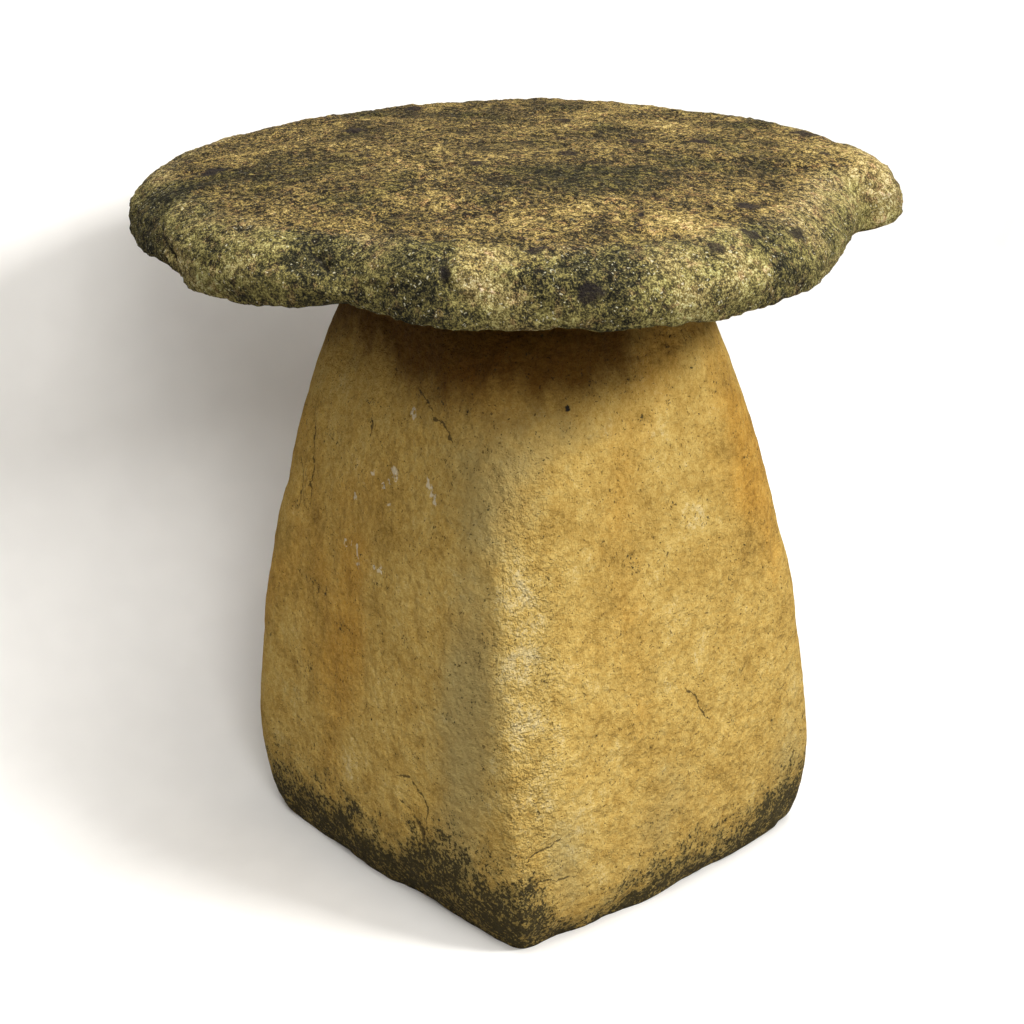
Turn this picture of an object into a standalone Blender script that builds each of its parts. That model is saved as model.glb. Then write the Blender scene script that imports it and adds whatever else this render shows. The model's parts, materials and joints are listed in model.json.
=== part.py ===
"""A squat staddle stone: a square, tapering base stone whose bowed faces run up into a nearly round
head, and a low round cap stone that rests loose on the head.

Units are metres and +Z is up. The origin is the centre of the base stone's underside, and the four
faces of the base look along +X, +Y, -X and -Y. Angles are in degrees, counted from +X towards +Y.
"""

import math

import bmesh
import bpy
import numpy as np

# Base stone -----------------------------------------------------------------------------------
BASE_HEIGHT = 0.461
FOOT_HALF_WIDTH = 0.1686      # axis to the middle of a face, just above the worn foot
HEAD_HALF_WIDTH = 0.1061      # axis to the middle of a face, at the head
TAPER_POWER = 1.87            # above 1, so that the sides curve inwards as they rise
FACE_BOW = 0.0136             # how far the middle of a face stands out from its two arrises
FRONT_ARRIS_WEAR = 0.0023     # rounding of the arris between +X and -Y, at the foot
SIDE_ARRIS_WEAR = 0.0051      # rounding of the three other arrises, at the foot
HEAD_ARRIS_WEAR = 0.0407      # rounding of all four arrises at the head, which is nearly round
FRONT_ARRIS_SPREAD = 30.0     # angle over which the sharper front arris fades into its neighbours
FOOT_WEAR = 0.0150            # how far the foot is worn back at the ground
FOOT_WEAR_HEIGHT = 0.029      # height over which that wear dies away
TWIST = -3.1                  # slow turn of the section between the ground and TWIST_HEIGHT
TWIST_HEIGHT = 0.28
# Chips worn from the foot: angle, half width in degrees, and depth at the ground.
FOOT_CHIPS = (
    (-36.0, 8.0, 0.0080),
    (-72.0, 16.0, 0.0040),
)
HEAD_OFFSET = (-0.0056, -0.0062)  # the head's centre, from the centre of the foot
HEAD_EDGE_WEAR = 0.007        # rounding of the head's top edge

# Cap stone ------------------------------------------------------------------------------------
SEAT_GAP = 0.0003             # clearance between the head and the cap's underside
CAP_RADIUS = 0.2620
CAP_CENTRE = (-0.0240, -0.0020)
RIM_HEIGHT = 0.0460           # underside to the top of the rim
CAP_RISE = 0.0150             # crown above the top of the rim
CROWN_FLAT_RADIUS = 0.032     # small level place on the crown
WIDEST_HEIGHT = 0.0170        # height of the widest line of the rim above the underside
UPPER_EDGE_ROUND = 0.0420     # how far the rim's upper edge rolls inwards
LOWER_EDGE_ROUND = 0.0070     # how far the rim's lower edge turns in
UNDERSIDE_CHAMFER = 0.0450    # width of the underside that can be broken away above the seat

# Places where the cap's outline leaves the circle: angle, half width in degrees, and how far out.
OUTLINE_SWELLS = (
    (-20.0, 17.0, 0.0070),
    (-42.0, 8.0, -0.0060),
    (-65.0, 9.0, -0.0170),
    (-94.0, 14.0, 0.0020),
    (-134.0, 20.0, 0.0110),
    (25.0, 20.0, -0.0180),
    (59.0, 15.0, 0.0150),
    (93.0, 20.0, 0.0040),
    (137.0, 26.0, 0.0110),
    (178.0, 16.0, -0.0100),
)
# Places where the top of the rim stands high or is worn down: angle, half width, and rise.
RIM_TOP_SWELLS = (
    (182.0, 26.0, -0.0050),
    (130.0, 34.0, 0.0070),
    (62.0, 16.0, -0.0040),
)
NOTCH_ANGLE = 44.8            # abrupt step between the worn shoulder and the nose of the rim
NOTCH_SHARPNESS = 2.2         # half width of that step, in degrees
NOTCH_DEPTH = 0.0100
NOTCH_REACH = 16.0            # angle over which the step fades out on both sides

# Pieces broken from the cap's lower edge: angle, half width in degrees, and height.
LOWER_EDGE_BREAKS = (
    (56.0, 12.0, 0.0110),
    (-68.0, 8.0, 0.0080),
    (-129.0, 10.0, 0.0050),
    (150.0, 20.0, 0.0060),
)

# Facets ---------------------------------------------------------------------------------------
BASE_SEGMENTS = 72
BASE_RINGS = 24
CAP_SEGMENTS = 88
RIM_STEPS_BELOW = 3
RIM_STEPS_ABOVE = 7
TOP_RINGS = 8

# Finishes: colour, roughness
BASE_COLOUR = (0.434, 0.262, 0.076, 1.0)
CAP_COLOUR = (0.162, 0.122, 0.052, 1.0)
STONE_ROUGHNESS = 0.92

FACE_REACH = math.radians(80.0)   # a face counts only this far round from its middle


def clear_scene():
    """Removes every object, so that the scene holds only the staddle stone."""
    for obj in list(bpy.data.objects):
        bpy.data.objects.remove(obj, do_unlink=True)


def turn_between(angle, centre):
    """Signed difference of two angles in degrees, between -180 and 180."""
    return (angle - centre + 180.0) % 360.0 - 180.0


def bump(angle, centre, half_width):
    """Smooth rise to 1 at centre, fallen to about a third at half_width from it."""
    return np.exp(-((turn_between(angle, centre) / half_width) ** 2))


def stone_material(name, colour):
    """A matt, mineral surface of one colour."""
    material = bpy.data.materials.new(name)
    material.use_nodes = True
    shader = material.node_tree.nodes["Principled BSDF"]
    shader.inputs["Base Color"].default_value = colour
    shader.inputs["Roughness"].default_value = STONE_ROUGHNESS
    shader.inputs["Metallic"].default_value = 0.0
    material.diffuse_color = colour
    return material


def skin_rings(name, rings, material):
    """A closed solid through level or rolling rings of points, bottom first, with flat ends."""
    mesh = bmesh.new()
    loops = [[mesh.verts.new(point) for point in ring] for ring in rings]
    mesh.faces.new(reversed(loops[0]))
    mesh.faces.new(loops[-1])
    for lower, upper in zip(loops, loops[1:]):
        count = len(lower)
        for i in range(count):
            j = (i + 1) % count
            mesh.faces.new((lower[i], lower[j], upper[j], upper[i]))
    data = bpy.data.meshes.new(name)
    mesh.to_mesh(data)
    mesh.free()
    data.materials.append(material)
    data.shade_smooth()
    data.set_sharp_from_angle(angle=math.radians(40.0))
    obj = bpy.data.objects.new(name, data)
    bpy.context.scene.collection.objects.link(obj)
    return obj


def ring_points(angles, radii, heights, centre):
    """Points at these angles in degrees, radii and heights round a centre."""
    turned = np.radians(angles)
    x = centre[0] + radii * np.cos(turned)
    y = centre[1] + radii * np.sin(turned)
    return np.column_stack((x, y, np.broadcast_to(heights, angles.shape)))


# Base stone -----------------------------------------------------------------------------------


def base_half_width(height):
    """Axis to the middle of a face: a power-law taper, less the wear of the foot."""
    taper = (FOOT_HALF_WIDTH - HEAD_HALF_WIDTH) * (height / BASE_HEIGHT) ** TAPER_POWER
    return FOOT_HALF_WIDTH - taper - FOOT_WEAR * math.exp(-height / FOOT_WEAR_HEIGHT)


def foot_chips(angles, height):
    """Depth of the chips along the foot, which die away with height as the foot's wear does."""
    depth = np.zeros(angles.shape)
    for centre, half_width, at_ground in FOOT_CHIPS:
        depth += at_ground * bump(angles, centre, half_width)
    return depth * math.exp(-height / FOOT_WEAR_HEIGHT)


def arris_crispness(angles, height):
    """Crispness of the section's arrises. Two equal faces meet ln 2 / crispness inside their crossing."""
    front = bump(angles, -45.0, FRONT_ARRIS_SPREAD)
    side_foot = math.log(2.0) / SIDE_ARRIS_WEAR
    front_foot = math.log(2.0) / FRONT_ARRIS_WEAR
    head = math.log(2.0) / HEAD_ARRIS_WEAR
    foot = side_foot + (front_foot - side_foot) * front
    return head + (foot - head) * (1.0 - height / BASE_HEIGHT)


def base_radii(angles, height):
    """Section of the base stone: the soft minimum of its four bowed faces, seen from the axis."""
    half_width = base_half_width(height)
    face_radius = half_width * FOOT_HALF_WIDTH / (2.0 * FACE_BOW)
    face_centre = face_radius - half_width
    crispness = arris_crispness(angles, height)
    reaches = []
    for face_angle in (0.0, 90.0, 180.0, 270.0):
        turned = np.radians(turn_between(angles, face_angle))
        across = np.sqrt(face_radius**2 - (face_centre * np.sin(turned)) ** 2)
        reach = across - face_centre * np.cos(turned)
        reaches.append(np.where(np.abs(turned) < FACE_REACH, reach, face_radius))
    reaches = np.array(reaches)
    nearest = reaches.min(axis=0)
    share = np.exp(-crispness * (reaches - nearest)).sum(axis=0)
    return nearest - np.log(share) / crispness - foot_chips(angles, height)


def base_centre(height):
    """The axis of the base leans a little, in a straight line from the foot to the head."""
    share = height / BASE_HEIGHT
    return (HEAD_OFFSET[0] * share, HEAD_OFFSET[1] * share)


def base_stone(material):
    """The square base stone, from its flat bed up to its flat, slightly rounded head."""
    angles = np.arange(BASE_SEGMENTS) * 360.0 / BASE_SEGMENTS
    body_top = BASE_HEIGHT - HEAD_EDGE_WEAR
    shares = np.linspace(0.0, 1.0, BASE_RINGS)
    rings = []
    for height in body_top * shares**1.25:
        twist = TWIST * min(height / TWIST_HEIGHT, 1.0)
        radii = base_radii(angles, height)
        rings.append(ring_points(angles + twist, radii, height, base_centre(height)))
    head_radii = base_radii(angles, BASE_HEIGHT)
    for step in (0.5, 1.0):
        roll = step * math.pi / 2.0
        height = body_top + HEAD_EDGE_WEAR * math.sin(roll)
        radii = head_radii - HEAD_EDGE_WEAR * (1.0 - math.cos(roll))
        rings.append(ring_points(angles + TWIST, radii, height, base_centre(height)))
    return skin_rings("base_stone", rings, material)


# Cap stone ------------------------------------------------------------------------------------


def cap_outline(angles):
    """Radius of the cap's widest line: a circle with worn swells, hollows and one abrupt notch."""
    radii = np.full(angles.shape, CAP_RADIUS)
    for centre, half_width, out in OUTLINE_SWELLS:
        radii += out * bump(angles, centre, half_width)
    offset = turn_between(angles, NOTCH_ANGLE)
    step = np.tanh(offset / NOTCH_SHARPNESS)
    radii += NOTCH_DEPTH * step * np.exp(-((offset / NOTCH_REACH) ** 2))
    return radii


def rim_top_swells(angles):
    """Height by which the top of the rim stands above its general level."""
    rise = np.zeros(angles.shape)
    for centre, half_width, up in RIM_TOP_SWELLS:
        rise += up * bump(angles, centre, half_width)
    return rise


def broken_height(angles):
    """Height of the cap's lower edge above its seat, where pieces have broken away."""
    lift = np.zeros(angles.shape)
    for centre, half_width, height in LOWER_EDGE_BREAKS:
        lift += height * bump(angles, centre, half_width)
    return lift


def cap_stone(material):
    """The cap: a flat underside, a rounded rim and a low crown with a small level place."""
    angles = np.arange(CAP_SEGMENTS) * 360.0 / CAP_SEGMENTS
    outline = cap_outline(angles)
    lift = broken_height(angles)
    underside = BASE_HEIGHT + SEAT_GAP
    widest = underside + WIDEST_HEIGHT
    rim_top = underside + RIM_HEIGHT + rim_top_swells(angles)
    crown = underside + RIM_HEIGHT + CAP_RISE
    rings = [ring_points(angles, outline - UNDERSIDE_CHAMFER, underside, CAP_CENTRE)]
    for roll in np.linspace(-math.pi / 2.0, 0.0, RIM_STEPS_BELOW, endpoint=False):
        radii = outline - LOWER_EDGE_ROUND * (1.0 - math.cos(roll))
        heights = widest + (WIDEST_HEIGHT - lift) * math.sin(roll)
        rings.append(ring_points(angles, radii, heights, CAP_CENTRE))
    for roll in np.linspace(0.0, math.pi / 2.0, RIM_STEPS_ABOVE):
        radii = outline - UPPER_EDGE_ROUND * (1.0 - math.cos(roll))
        heights = widest + (rim_top - widest) * math.sin(roll)
        rings.append(ring_points(angles, radii, heights, CAP_CENTRE))
    top_edge = outline - UPPER_EDGE_ROUND
    for share in np.linspace(0.0, 1.0, TOP_RINGS + 1)[1:]:
        radii = top_edge + (CROWN_FLAT_RADIUS - top_edge) * share
        heights = rim_top + (crown - rim_top) * math.sin(share * math.pi / 2.0)
        rings.append(ring_points(angles, radii, heights, CAP_CENTRE))
    return skin_rings("cap_stone", rings, material)


def build():
    """Clears the scene and makes the two stones."""
    clear_scene()
    base_stone(stone_material("golden_stone", BASE_COLOUR))
    cap_stone(stone_material("lichened_stone", CAP_COLOUR))


build()
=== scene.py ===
"""Looks of a weathered staddle stone: a golden, square, tapering base stone with a mossy foot, and a
low round cap stone grown over with lichen.

Each stone is one closed surface, worked out as a function of two parameters on a grid: an angle round
the stone, and a station that runs from its underside over its side to the middle of its top. Angles are
in degrees, counted from +X towards +Y. Masks that belong to a place on a stone are stored on its mesh as
attributes, and the materials read them together with Object coordinates.
"""

import json
import math

import bpy
import numpy as np
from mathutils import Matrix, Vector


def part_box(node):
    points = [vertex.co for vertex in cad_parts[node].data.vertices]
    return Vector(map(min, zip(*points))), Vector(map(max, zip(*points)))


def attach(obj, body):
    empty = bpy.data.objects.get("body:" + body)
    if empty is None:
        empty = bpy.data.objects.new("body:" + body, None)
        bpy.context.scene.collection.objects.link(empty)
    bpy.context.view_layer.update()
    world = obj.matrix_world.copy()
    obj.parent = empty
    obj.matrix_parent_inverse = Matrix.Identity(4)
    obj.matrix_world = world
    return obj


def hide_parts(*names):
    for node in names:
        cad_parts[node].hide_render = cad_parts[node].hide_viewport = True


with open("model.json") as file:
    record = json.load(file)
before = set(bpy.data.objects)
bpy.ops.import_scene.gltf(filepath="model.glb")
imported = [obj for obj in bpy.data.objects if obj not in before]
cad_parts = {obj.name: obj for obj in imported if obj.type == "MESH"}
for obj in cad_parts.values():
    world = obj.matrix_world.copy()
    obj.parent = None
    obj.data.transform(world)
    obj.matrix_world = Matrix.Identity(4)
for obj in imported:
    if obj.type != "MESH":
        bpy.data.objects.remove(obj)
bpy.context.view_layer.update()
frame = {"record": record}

BASE_LOW, BASE_HIGH = (np.array(corner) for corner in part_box("base_stone"))
CAP_LOW, CAP_HIGH = (np.array(corner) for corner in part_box("cap_stone"))
MOUNTS = {mount["name"]: mount for mount in frame["record"]["mounts"]}

# Base stone, from the size of its CAD solid ---------------------------------------------------
BASE_HEIGHT = BASE_HIGH[2]
BASE_WIDTH = BASE_HIGH[0] - BASE_LOW[0]
FOOT_HALF_WIDTH = 0.5094 * BASE_WIDTH
HEAD_HALF_WIDTH = 0.3205 * BASE_WIDTH
FACE_BOW = 0.0411 * BASE_WIDTH
TAPER_POWER = 1.87
FRONT_ARRIS_WEAR = 0.0040
SIDE_ARRIS_WEAR = 0.0062
HEAD_ARRIS_WEAR = 0.0407
FRONT_ARRIS_SPREAD = 30.0
FOOT_WEAR = 0.0150
FOOT_WEAR_HEIGHT = 0.029
TWIST = -3.1
TWIST_HEIGHT = 0.28
HEAD_OFFSET = (-0.0056, -0.0062)
HEAD_EDGE_WEAR = 0.007
FOOT_CHIPS = (
    (-38.0, 7.0, 0.0055),
    (-24.0, 8.0, 0.0030),
    (-72.0, 16.0, 0.0070),
    (8.0, 12.0, 0.0040),
    (-108.0, 9.0, 0.0030),
)
FOOT_CHIP_HEIGHT = 0.020
FACE_REACH = math.radians(80.0)

# Cap stone, from the size of its CAD solid ----------------------------------------------------
CAP_CENTRE = np.array(MOUNTS["top_bearing"]["pos_m"][:2])
UNDERSIDE = CAP_LOW[2]
CAP_HEIGHT = CAP_HIGH[2] - CAP_LOW[2]
CAP_RADIUS = 0.4940 * (CAP_HIGH[1] - CAP_LOW[1])
RIM_HEIGHT = 0.790 * CAP_HEIGHT
CROWN_FLAT_RADIUS = 0.032
WIDEST_HEIGHT = 0.28 * CAP_HEIGHT
UPPER_EDGE_ROUND = 0.0420
LOWER_EDGE_ROUND = 0.0070
UNDERSIDE_CHAMFER = 0.0450
OUTLINE_SWELLS = (
    (-20.0, 17.0, 0.0070),
    (-42.0, 8.0, -0.0060),
    (-65.0, 9.0, -0.0170),
    (-94.0, 14.0, 0.0020),
    (-134.0, 20.0, 0.0110),
    (25.0, 20.0, -0.0180),
    (59.0, 15.0, 0.0150),
    (93.0, 20.0, 0.0040),
    (137.0, 26.0, 0.0110),
    (178.0, 16.0, -0.0100),
)
RIM_TOP_SWELLS = (
    (186.0, 26.0, 0.0060),
    (130.0, 34.0, 0.0070),
    (80.0, 22.0, 0.0080),
    (52.0, 12.0, 0.0040),
)
LOWER_EDGE_BREAKS = (
    (56.0, 12.0, 0.0110),
    (-68.0, 8.0, 0.0060),
    (-129.0, 10.0, 0.0020),
    (150.0, 20.0, 0.0060),
)
NOTCH_ANGLE = 44.8
NOTCH_SHARPNESS = 1.4
NOTCH_DEPTH = 0.0115
NOTCH_REACH = 16.0


# Fields and noise -----------------------------------------------------------------------------


def turn_between(angle, centre):
    """Signed difference of two angles in degrees, between -180 and 180."""
    return (angle - centre + 180.0) % 360.0 - 180.0


def bump(angle, centre, half_width):
    """exp(-(turn / half_width)^2), where turn is the angle between the two directions."""
    return np.exp(-((turn_between(angle, centre) / half_width) ** 2))


def step_up(value, start, end):
    """Smooth step: 0 up to start, 1 from end on, and 3t^2 - 2t^3 between them."""
    share = np.clip((value - start) / (end - start), 0.0, 1.0)
    return share * share * (3.0 - 2.0 * share)


LATTICE_GAIN = 1.6            # brings the noise to about -1 to 1


def lattice_noise(points, size, seed):
    """Gradient noise, about -1 to 1: random slopes at the corners of a cubic lattice of this cell size,
    blended by 6t^5 - 15t^4 + 10t^3 along each axis. size may be three numbers, for a stretched grain."""
    dice = np.random.default_rng(seed)
    order = np.tile(dice.permutation(256), 3)
    slopes = dice.normal(size=(256, 3))
    slopes /= np.linalg.norm(slopes, axis=1, keepdims=True)
    place = points / np.asarray(size) + dice.uniform(0.0, 256.0, 3)
    cell = np.floor(place).astype(np.int64)
    inner = place - cell
    eased = inner**3 * (inner * (inner * 6.0 - 15.0) + 10.0)
    cell &= 255
    height = np.zeros(points.shape[:-1])
    for corner in np.ndindex(2, 2, 2):
        index = order[cell[..., 0] + corner[0]]
        index = order[(index + cell[..., 1] + corner[1]) & 511]
        index = order[(index + cell[..., 2] + corner[2]) & 511]
        weight = np.prod(np.where(corner, eased, 1.0 - eased), axis=-1)
        height += weight * ((inner - corner) * slopes[index]).sum(axis=-1)
    return height * LATTICE_GAIN


def layered_noise(points, size, seed, layers=3, fall=0.5):
    """Sum of lattice noise at sizes size, size/2, size/4 ..., each layer fall times as strong."""
    height = np.zeros(points.shape[:-1])
    for layer in range(layers):
        height += fall**layer * lattice_noise(points, np.asarray(size) / 2.0**layer, seed + layer)
    return height


def relief_layer(points, layer):
    """Layered noise in metres, from (strength, size, seed, layers, fall)."""
    strength, size, seed, layers, fall = layer
    return strength * layered_noise(points, size, seed, layers=layers, fall=fall)


def polyline_field(points, normals, line):
    """For each point: signed distance across a polyline, its share along the line, which is below 0 or
    above 1 past an end, and its distance from the line. The sign tells the left side from the right."""
    line = np.asarray(line, float)
    runs = np.diff(line, axis=0)
    lengths = np.linalg.norm(runs, axis=1)
    starts = np.concatenate(([0.0], np.cumsum(lengths)))
    best = np.full(points.shape[:-1], np.inf)
    across = np.full(points.shape[:-1], 1.0)
    along = np.full(points.shape[:-1], -1.0)
    for i, (origin, run, length) in enumerate(zip(line, runs, lengths)):
        offset = points - origin
        raw = offset @ run / length**2
        low = -np.inf if i == 0 else 0.0
        high = np.inf if i == len(runs) - 1 else 1.0
        share = np.clip(raw, low, high)
        gap = offset - share[..., None] * run
        distance = np.linalg.norm(gap, axis=-1)
        past_end = np.maximum(np.maximum(-share, share - 1.0), 0.0) * length
        nearer = np.hypot(distance, past_end) < best
        side = np.sign((np.cross(run, gap) * normals).sum(axis=-1))
        best = np.where(nearer, np.hypot(distance, past_end), best)
        across = np.where(nearer, side * distance, across)
        along = np.where(nearer, (starts[i] + share * length) / starts[-1], along)
    return across, along, best


def line_attribute(points, normals, lines):
    """Vector field (across, taper, 0) of whichever line is nearest: across is in metres, and taper is
    1 at the middle of the line, 0 at its ends and negative past them."""
    field = np.zeros(points.shape)
    field[..., 0] = 1.0
    nearest = np.full(points.shape[:-1], np.inf)
    for line in lines:
        across, along, distance = polyline_field(points, normals, line)
        closer = distance < nearest
        nearest = np.where(closer, distance, nearest)
        field[..., 0] = np.where(closer, across, field[..., 0])
        field[..., 1] = np.where(closer, 1.0 - (2.0 * along - 1.0) ** 2, field[..., 1])
    return field


# Grids and meshes -----------------------------------------------------------------------------


def surface_normals(grid):
    """Unit normals of a grid of points [station, angle] that closes round its second axis: the cross
    product of the differences along its two parameters, pointing outwards."""
    around = np.roll(grid, -1, axis=1) - np.roll(grid, 1, axis=1)
    along = np.gradient(grid, axis=0)
    normals = np.cross(around, along)
    return normals / np.maximum(np.linalg.norm(normals, axis=-1, keepdims=True), 1e-12)


def band_faces(start, rings, count):
    """Quads between rings of equal count whose first point has the index start."""
    row = np.arange(rings - 1)[:, None] * count + start
    here = np.arange(count)[None, :]
    after = (here + 1) % count
    quads = (row + here, row + after, row + count + after, row + count + here)
    return np.stack(quads, axis=-1).reshape(-1, 4)


def fit_box(points, low, high):
    """Stretches each axis a little, so that the points fill the box from low to high."""
    own_low = points.min(axis=0)
    own_high = points.max(axis=0)
    return low + (points - own_low) * (high - low) / (own_high - own_low)


def halving_faces(outer, inner):
    """Triangles between a ring and the next one inwards, which has half as many points."""
    even = outer[0::2]
    odd = outer[1::2]
    following = np.roll(even, -1)
    after = np.roll(inner, -1)
    corners = ((even, odd, inner), (odd, after, inner), (odd, following, after))
    return [face for three in corners for face in np.stack(three, axis=-1).tolist()]


def closing_disc(ring, ring_start, start, rings_in, disc_height, downwards=False):
    """Points and faces that close a ring with a level disc. The ring's points have the indices from
    ring_start on, and the new ones from start on. Each step inwards keeps every second point, so the
    triangles stay of even size, and the last ring is one flat polygon."""
    points = []
    faces = []
    outer = np.arange(ring_start, ring_start + len(ring))
    centre = ring.mean(axis=0)
    for step in range(1, rings_in + 1):
        share = 1.0 - step / (rings_in + 1.0)
        inner_points = centre + (ring[:: 2**step] - centre) * share
        inner_points[:, 2] = disc_height
        inner = np.arange(start, start + len(inner_points))
        start += len(inner_points)
        faces += halving_faces(outer, inner)
        points.append(inner_points)
        outer = inner
    faces.append(outer.tolist())
    if downwards:
        faces = [face[::-1] for face in faces]
    return np.concatenate(points), faces


def mesh_piece(name, points, faces, attributes):
    """A mesh object from arrays of points and faces, with point attributes, shaded smooth."""
    mesh = bpy.data.meshes.new(name)
    mesh.from_pydata(points.tolist(), [], faces)
    for attribute_name, values in attributes.items():
        kind = "FLOAT_VECTOR" if values.ndim == 2 else "FLOAT"
        field = "vector" if values.ndim == 2 else "value"
        stored = mesh.attributes.new(attribute_name, kind, "POINT")
        stored.data.foreach_set(field, values.astype(np.float32).ravel())
    mesh.shade_smooth()
    mesh.update()
    obj = bpy.data.objects.new(name, mesh)
    bpy.context.scene.collection.objects.link(obj)
    return obj


def blobs(angle, height, patches):
    """Sum of smooth patches on a side: (angle, height, half width in degrees, half height, strength)."""
    mask = np.zeros(angle.shape)
    for at_angle, at_height, half_width, half_height, strength in patches:
        rise = np.exp(-(((height - at_height) / half_height) ** 2))
        mask += strength * bump(angle, at_angle, half_width) * rise
    return mask


def drifting(points, placed, size, seed, strength, layers=3, start=0.0):
    """A mask from 0 to 1: its start everywhere, plus placed patches, plus drifts of noise."""
    drift = layered_noise(points, size, seed, layers=layers, fall=0.6)
    return np.clip(start + placed + strength * drift, 0.0, 1.0)


# Base stone -----------------------------------------------------------------------------------

BASE_COUNT = 480
BASE_STATIONS = 186
BASE_CLOSING_RINGS = 5
HEAD_ROLLS = (45.0, 90.0)


def base_half_width(height):
    """Axis to the middle of a face: foot - (foot - head) * (height / total)^power - wear of the foot."""
    taper = (FOOT_HALF_WIDTH - HEAD_HALF_WIDTH) * (height / BASE_HEIGHT) ** TAPER_POWER
    return FOOT_HALF_WIDTH - taper - FOOT_WEAR * np.exp(-height / FOOT_WEAR_HEIGHT)


def base_radius(angle, height):
    """Distance from the axis: the soft minimum, -log(sum(exp(-k * reach))) / k, of the reaches of four
    bowed faces. A face is an arc whose centre lies behind the axis, and k is how crisp the arris is."""
    half_width = base_half_width(height)
    face_radius = half_width * FOOT_HALF_WIDTH / (2.0 * FACE_BOW)
    face_centre = face_radius - half_width
    front = bump(angle, -45.0, FRONT_ARRIS_SPREAD)
    side_foot = math.log(2.0) / SIDE_ARRIS_WEAR
    front_foot = math.log(2.0) / FRONT_ARRIS_WEAR
    head = math.log(2.0) / HEAD_ARRIS_WEAR
    foot = side_foot + (front_foot - side_foot) * front
    crispness = head + (foot - head) * (1.0 - height / BASE_HEIGHT)
    reaches = []
    for face_angle in (0.0, 90.0, 180.0, 270.0):
        turned = np.radians(turn_between(angle, face_angle))
        reach = np.sqrt(face_radius**2 - (face_centre * np.sin(turned)) ** 2)
        reach -= face_centre * np.cos(turned)
        reaches.append(np.where(np.abs(turned) < FACE_REACH, reach, face_radius))
    reaches = np.array(reaches)
    nearest = reaches.min(axis=0)
    share = np.exp(-crispness * (reaches - nearest)).sum(axis=0)
    chips = sum(depth * bump(angle, at, width) for at, width, depth in FOOT_CHIPS)
    return nearest - np.log(share) / crispness - chips * np.exp(-height / FOOT_CHIP_HEIGHT)


def base_place(angle, height, out=0.0):
    """Point on the base's side: the radius turned by the slow twist, round an axis that leans."""
    twist = TWIST * np.minimum(height / TWIST_HEIGHT, 1.0)
    turned = np.radians(angle + twist)
    radius = base_radius(angle, height) + out
    lean = height / BASE_HEIGHT
    x = HEAD_OFFSET[0] * lean + radius * np.cos(turned)
    y = HEAD_OFFSET[1] * lean + radius * np.sin(turned)
    return np.stack((x, y, height + 0.0 * x), axis=-1)


def base_line(*stations):
    """A line on the base's side through (angle, height) stations, as points."""
    angle, height = np.array(stations, float).T
    twist = TWIST * np.minimum(height / TWIST_HEIGHT, 1.0)
    return base_place(angle - twist, height)


# Hairline cracks and open cracks, as (angle, height) on the stone, and pale scrapes.
BASE_CRACKS = (
    ((-79.0, 0.384), (-71.0, 0.369), (-66.0, 0.364), (-61.0, 0.354)),
    ((-126.9, 0.340), (-125.5, 0.320), (-124.0, 0.300), (-122.0, 0.268)),
    ((-129.0, 0.300), (-127.0, 0.284), (-126.0, 0.262)),
    ((-98.1, 0.356), (-97.4, 0.338)),
    ((-78.0, 0.104), (-73.5, 0.109), (-70.5, 0.101), (-67.8, 0.090), (-68.0, 0.078)),
    ((-77.0, 0.088), (-71.8, 0.081), (-69.0, 0.071), (-68.6, 0.055), (-66.0, 0.042)),
    ((-44.0, 0.078), (-42.0, 0.082), (-39.0, 0.085), (-36.5, 0.090)),
    ((-44.0, 0.058), (-40.5, 0.060), (-37.0, 0.055), (-33.5, 0.054)),
    ((0.0, 0.166), (3.5, 0.153), (6.5, 0.139), (8.0, 0.133)),
    ((142.0, 0.330), (147.0, 0.300), (146.0, 0.270), (151.0, 0.240)),
    ((62.0, 0.110), (68.0, 0.098), (70.0, 0.080), (76.0, 0.066)),
)
BASE_SCRAPES = (
    ((-94.5, 0.3180), (-92.8, 0.3140)),
    ((-89.0, 0.3120), (-87.5, 0.3080)),
    ((-86.0, 0.3250), (-83.0, 0.3160)),
    ((-71.0, 0.3290), (-69.0, 0.3190), (-66.8, 0.3110)),
    ((-102.0, 0.2960), (-100.0, 0.2900)),
    ((-86.0, 0.3000), (-84.2, 0.2950)),
    ((-98.2, 0.2610), (-97.0, 0.2510), (-96.4, 0.2430)),
    ((-90.0, 0.2520), (-85.0, 0.2500)),
    ((-104.0, 0.2600), (-103.2, 0.2540)),
    ((-80.0, 0.3700), (-79.0, 0.3600)),
)
BASE_HOLES = (
    (-31.4, 0.3794, 0.0030),
    (-8.9, 0.3292, 0.0018),
    (-0.6, 0.3246, 0.0026),
    (2.0, 0.3290, 0.0018),
    (-33.0, 0.3520, 0.0016),
    (17.4, 0.3533, 0.0016),
    (-26.0, 0.2830, 0.0018),
    (-88.0, 0.1380, 0.0020),
    (-66.0, 0.2100, 0.0016),
    (205.0, 0.3000, 0.0026),
    (110.0, 0.2100, 0.0022),
)
CRACK_DEPTH = 0.0016
CRACK_HALF_WIDTH = 0.0024


# Layers of unevenness: strength, size of the lumps, seed, layers, and how each falls to the next.
BASE_SWELLS = (0.0020, 0.110, 11, 2, 0.5)
BASE_LUMPS = (0.0010, (0.034, 0.034, 0.050), 21, 2, 0.5)
BASE_GRAIN = (0.00042, (0.0095, 0.0095, 0.0140), 31, 2, 0.7)
RIDGE_GRAIN = (0.0011, 0.016, 41, 2, 0.5)
FOOT_CRUMBLE = (0.0012, 0.020, 51, 2, 0.5)
PIT_SIZE = (0.022, 0.022, 0.030)
PIT_DEPTH = 0.0016
RIDGE_WEAR = 0.0006
SHOULDER = 0.0052


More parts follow.
